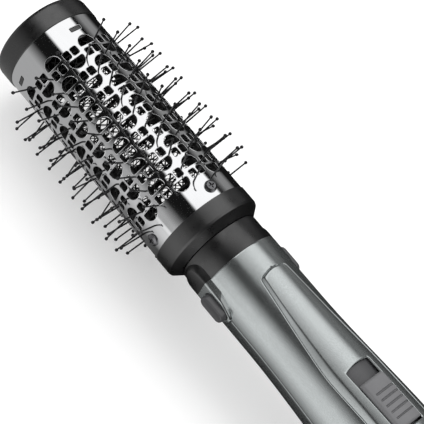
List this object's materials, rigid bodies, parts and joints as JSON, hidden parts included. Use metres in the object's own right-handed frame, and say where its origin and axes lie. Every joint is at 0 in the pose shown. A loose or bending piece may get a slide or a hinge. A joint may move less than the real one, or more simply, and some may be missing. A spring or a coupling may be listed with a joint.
{
  "type": "hot air brush",
  "caption": "Round hot air brush: perforated metal barrel with ball-tipped pins on a pull-off head, metallic grip with sliding switch, release buttons and cord gland.",
  "frame": {"origin": "centre of the cord gland's mouth, on the tool's axis at the rear end", "axes": "+Y along the tool's axis from the cord end to the brush cap, +Z out of the switch panel, release buttons at +X and -X"},
  "size_m": [0.0748, 0.3267, 0.0748],
  "materials": {
    "chrome_barrel": "polished sheet steel, lightly scuffed",
    "charcoal": "fine matt texture",
    "black_plastic": "satin",
    "silver_lacquer": "satin metallic lacquer",
    "knob_grey": "matt",
    "button_grey": "matt",
    "bristle_nylon": "smooth nylon",
    "core_nylon": "heat resistant nylon",
    "screw_steel": "plated",
    "steel": "plain",
    "black_screw": "black oxide",
    "bronze": "sintered",
    "copper": "enamelled copper",
    "ferrite": "plain",
    "carbon": "plain",
    "white_nylon": "plain",
    "mica": "mica sheet",
    "nichrome": "heat tinted",
    "board_green": "solder mask",
    "filter_grey": "fine mesh",
    "gland_rubber": "matt"
  },
  "bodies": {
    "handle": {"neck_ring": "black_plastic", "outlet_spigot": "black_plastic", "upper_shell": "silver_lacquer", "lower_shell": "silver_lacquer", "control_panel": "silver_lacquer", "case_screws": "black_screw", "rear_cover": "black_plastic", "air_filter": "filter_grey", "gland_retainer": "white_nylon", "switch_block": "black_plastic", "circuit_board": "board_green", "left_spring": "steel", "right_spring": "steel", "fan_duct": "white_nylon", "motor_can": "steel", "motor_end_bell": "white_nylon", "motor_magnets": "ferrite", "motor_bushes": "bronze", "motor_brushes": "carbon", "heater_boards": "mica", "heating_coil": "nichrome", "heat_shield": "mica", "thermostat": "steel", "thermal_fuse": "steel"},
    "head": {"end_cap": "charcoal", "tip_disc": "black_plastic", "barrel": "chrome_barrel", "bristle_core": "core_nylon", "bristle_pins": "bristle_nylon", "rest_pins": "bristle_nylon", "barrel_screws": "screw_steel", "collar": "charcoal", "latch_sleeve": "black_plastic"},
    "switch_slider": {"slide_knob": "knob_grey", "slide_plate": "button_grey"},
    "left_release": {"left_button": "button_grey", "left_latch_hook": "steel"},
    "right_release": {"right_button": "button_grey", "right_latch_hook": "steel"},
    "rotor": {"rotor_shaft": "steel", "armature": "steel", "armature_windings": "copper", "commutator": "copper", "fan_impeller": "core_nylon"},
    "cord_swivel": {"cord_gland": "gland_rubber"}
  },
  "joints": [
    {"name": "head_pull", "type": "slide", "parent": "handle", "child": "head", "axis": [0, 1, 0], "range_m": [0, 0.03]},
    {"name": "switch_slide", "type": "slide", "parent": "handle", "child": "switch_slider", "axis": [0, 1, 0], "range_m": [0, 0.007]},
    {"name": "left_press", "type": "slide", "parent": "handle", "child": "left_release", "axis": [1, 0, 0], "range_m": [0, 0.0015], "stiffness_N_per_m": 600, "springref_m": -0.001, "deforming": ["left_spring"]},
    {"name": "right_press", "type": "slide", "parent": "handle", "child": "right_release", "axis": [-1, 0, 0], "range_m": [0, 0.0015], "stiffness_N_per_m": 600, "springref_m": -0.001, "deforming": ["right_spring"]},
    {"name": "fan_spin", "type": "hinge", "parent": "handle", "child": "rotor", "pos_m": [0, 0.036, 0], "axis": [0, 1, 0], "continuous": true},
    {"name": "cord_turn", "type": "hinge", "parent": "handle", "child": "cord_swivel", "pos_m": [0, 0.005, 0], "axis": [0, 1, 0], "continuous": true}
  ]
}
